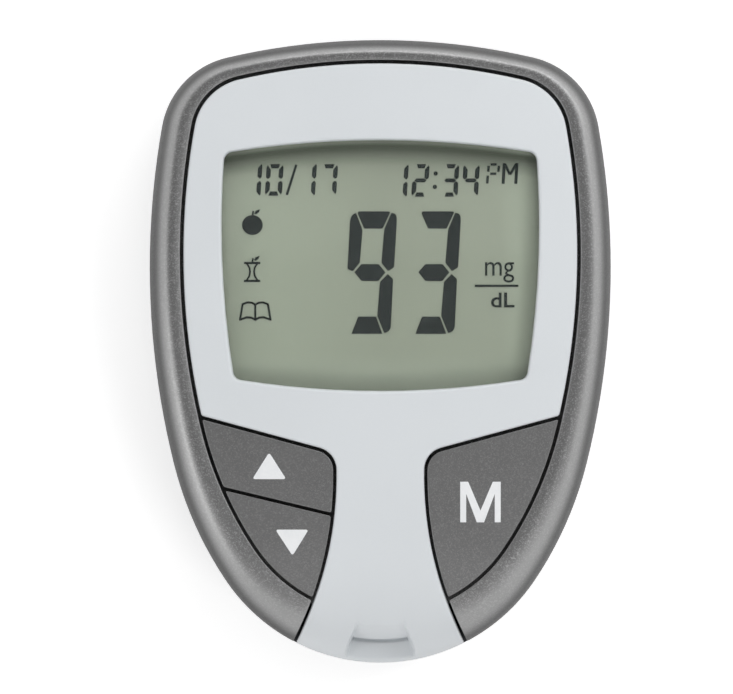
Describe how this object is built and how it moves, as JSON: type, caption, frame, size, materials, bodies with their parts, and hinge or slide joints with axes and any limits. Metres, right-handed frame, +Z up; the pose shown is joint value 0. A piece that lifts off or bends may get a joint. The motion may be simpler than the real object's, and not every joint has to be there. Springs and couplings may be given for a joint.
{
  "type": "blood glucose meter",
  "caption": "Handheld blood glucose meter with a curved display window, two scroll keys, a memory key, a test strip port and a sliding battery door.",
  "frame": {"origin": "under the middle of the body, on the plane that the flat back rests on", "axes": "+X to the right of the display, +Y towards the display end, +Z up out of the display"},
  "size_m": [0.057, 0.077, 0.023],
  "materials": {
    "case_dark": "fine matte, dark grey",
    "case_metallic": "metallic flake paint, satin clear coat",
    "face_pale": "satin, pale blue grey",
    "clear_lens": "clear acrylic",
    "key_grey": "metallic flake paint, satin",
    "dome_steel": "bright sheet",
    "film": "polarizing film",
    "lcd_glass": "thin display glass",
    "reflector": "satin grey green reflector",
    "holder_white": "matte",
    "zebra_rubber": "layered silicone",
    "board_green": "solder resist",
    "chip_black": "moulded epoxy",
    "crystal_can": "drawn can",
    "buzzer_black": "matte",
    "capacitor_ceramic": "matte with tinned ends",
    "resistor_ceramic": "matte with tinned ends",
    "connector_white": "moulded",
    "contact_gold": "gold flash",
    "jack_black": "moulded",
    "contact_tin": "tinned",
    "cell_steel": "nickel plated",
    "contact_nickel": "nickel plated",
    "screw_steel": "zinc plated",
    "label_film": "satin film"
  },
  "bodies": {
    "meter": {"rear_case": "case_dark", "front_case": "case_metallic", "faceplate": "face_pale", "display_lens": "clear_lens", "up_dome": "dome_steel", "down_dome": "dome_steel", "memory_dome": "dome_steel", "lcd_front_polarizer": "film", "lcd_front_glass": "lcd_glass", "lcd_rear_glass": "lcd_glass", "lcd_reflector": "reflector", "lcd_holder": "holder_white", "zebra_strip": "zebra_rubber", "circuit_board": "board_green", "microcontroller": "chip_black", "memory_chip": "chip_black", "analog_chip": "chip_black", "crystal": "crystal_can", "buzzer": "buzzer_black", "capacitors": "capacitor_ceramic", "resistors": "resistor_ceramic", "strip_connector": "connector_white", "strip_contacts": "contact_gold", "data_jack": "jack_black", "data_jack_contacts": "contact_tin", "coin_cell_left": "cell_steel", "coin_cell_right": "cell_steel", "battery_plus_contacts": "contact_nickel", "battery_minus_contacts": "contact_nickel", "case_screws": "screw_steel", "rating_label": "label_film"},
    "up_key": {"up_key": "key_grey"},
    "down_key": {"down_key": "key_grey"},
    "memory_key": {"memory_key": "key_grey"},
    "battery_door": {"battery_door": "case_dark"}
  },
  "joints": [
    {"name": "up_press", "type": "slide", "parent": "meter", "child": "up_key", "axis": [0, 0, -1], "range_m": [0, 0.0005], "stiffness_N_per_m": 800, "deforming": ["up_dome"]},
    {"name": "down_press", "type": "slide", "parent": "meter", "child": "down_key", "axis": [0, 0, -1], "range_m": [0, 0.0005], "stiffness_N_per_m": 800, "deforming": ["down_dome"]},
    {"name": "memory_press", "type": "slide", "parent": "meter", "child": "memory_key", "axis": [0, 0, -1], "range_m": [0, 0.0005], "stiffness_N_per_m": 800, "deforming": ["memory_dome"]},
    {"name": "battery_door_slide", "type": "slide", "parent": "meter", "child": "battery_door", "axis": [0, 1, 0], "range_m": [0, 0.0385]}
  ]
}
